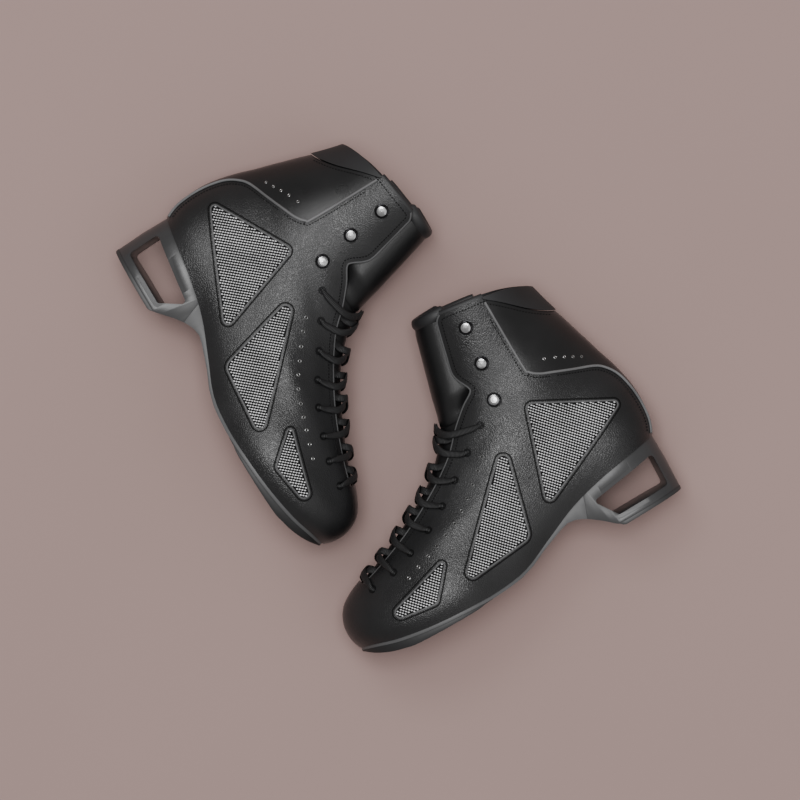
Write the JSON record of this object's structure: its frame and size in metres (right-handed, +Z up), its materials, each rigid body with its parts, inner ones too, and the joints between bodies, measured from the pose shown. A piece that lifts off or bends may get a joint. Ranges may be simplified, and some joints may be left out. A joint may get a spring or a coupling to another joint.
{
  "type": "pair of figure skating boots",
  "caption": "Pair of black leather lace-up skating boots without blades, with woven mesh side windows, lacing studs and hollow heels, lying on their inner sides.",
  "frame": {"origin": "centre of the bounding box, on the floor that the boots lie on", "axes": "+Z up from the floor; +X and +Y along the floor, +X along the longer side of the pair"},
  "size_m": [0.433, 0.387, 0.0943],
  "materials": {
    "leather": "grained, half matt",
    "collar_leather": "smooth, satin",
    "piping": "satin",
    "mesh": "open weave of light and black threads",
    "lining": "soft matt",
    "stiffener": "matt",
    "tongue_leather": "smooth, satin",
    "roll_leather": "soft, satin",
    "cuff": "soft, matt",
    "eyelet": "black",
    "stud": "black gloss",
    "rivet": "bright",
    "lace": "ribbed, waxed",
    "footbed": "matt",
    "board": "matt",
    "steel": "satin",
    "filler": "cork",
    "sole_band": "matt",
    "outsole": "matt",
    "heel": "satin",
    "lift": "matt"
  },
  "bodies": {
    "left_boot": {"left_upper_leather": "leather", "left_collar_panel": "collar_leather", "left_collar_piping": "piping", "left_heel_mesh": "mesh", "left_arch_mesh": "mesh", "left_toe_mesh": "mesh", "left_lining": "lining", "left_toe_puff": "stiffener", "left_heel_counter": "stiffener", "left_lower_tongue": "tongue_leather", "left_eyelets": "eyelet", "left_lacing_studs": "stud", "left_stud_rivets": "rivet", "left_lace": "lace", "left_footbed": "footbed", "left_insole_board": "board", "left_shank": "steel", "left_bottom_filler": "filler", "left_heel_screws": "steel", "left_midsole": "sole_band", "left_outsole": "outsole", "left_heel_block": "heel", "left_heel_lift": "lift"},
    "left_tongue": {"left_upper_tongue": "tongue_leather", "left_tongue_roll": "roll_leather"},
    "left_cuff": {"left_soft_cuff": "cuff"},
    "right_boot": {"right_upper_leather": "leather", "right_collar_panel": "collar_leather", "right_collar_piping": "piping", "right_heel_mesh": "mesh", "right_arch_mesh": "mesh", "right_toe_mesh": "mesh", "right_lining": "lining", "right_toe_puff": "stiffener", "right_heel_counter": "stiffener", "right_lower_tongue": "tongue_leather", "right_eyelets": "eyelet", "right_lacing_studs": "stud", "right_stud_rivets": "rivet", "right_lace": "lace", "right_footbed": "footbed", "right_insole_board": "board", "right_shank": "steel", "right_bottom_filler": "filler", "right_heel_screws": "steel", "right_midsole": "sole_band", "right_outsole": "outsole", "right_heel_block": "heel", "right_heel_lift": "lift"},
    "right_tongue": {"right_upper_tongue": "tongue_leather", "right_tongue_roll": "roll_leather"},
    "right_cuff": {"right_soft_cuff": "cuff"}
  },
  "joints": [
    {"name": "left_boot_lift", "type": "slide", "parent": "right_boot", "child": "left_boot", "axis": [0, 0, 1], "range_m": [0, 0.15]},
    {"name": "left_tongue_swing", "type": "hinge", "parent": "left_boot", "child": "left_tongue", "pos_m": [0.03221, -0.01435, 0.04578], "axis": [0.0711, -0.0141, 0.9974], "range_deg": [0, 40]},
    {"name": "left_cuff_bend", "type": "hinge", "parent": "left_boot", "child": "left_cuff", "pos_m": [0.12177, 0.06743, 0.04055], "axis": [-0.0711, 0.0141, -0.9974], "range_deg": [0, 15]},
    {"name": "right_tongue_swing", "type": "hinge", "parent": "right_boot", "child": "right_tongue", "pos_m": [-0.02842, 0.0731, 0.04578], "axis": [0.0693, -0.0213, -0.9974], "range_deg": [0, 40]},
    {"name": "right_cuff_bend", "type": "hinge", "parent": "right_boot", "child": "right_cuff", "pos_m": [-0.06851, 0.18757, 0.04055], "axis": [-0.0693, 0.0213, 0.9974], "range_deg": [0, 15]}
  ]
}
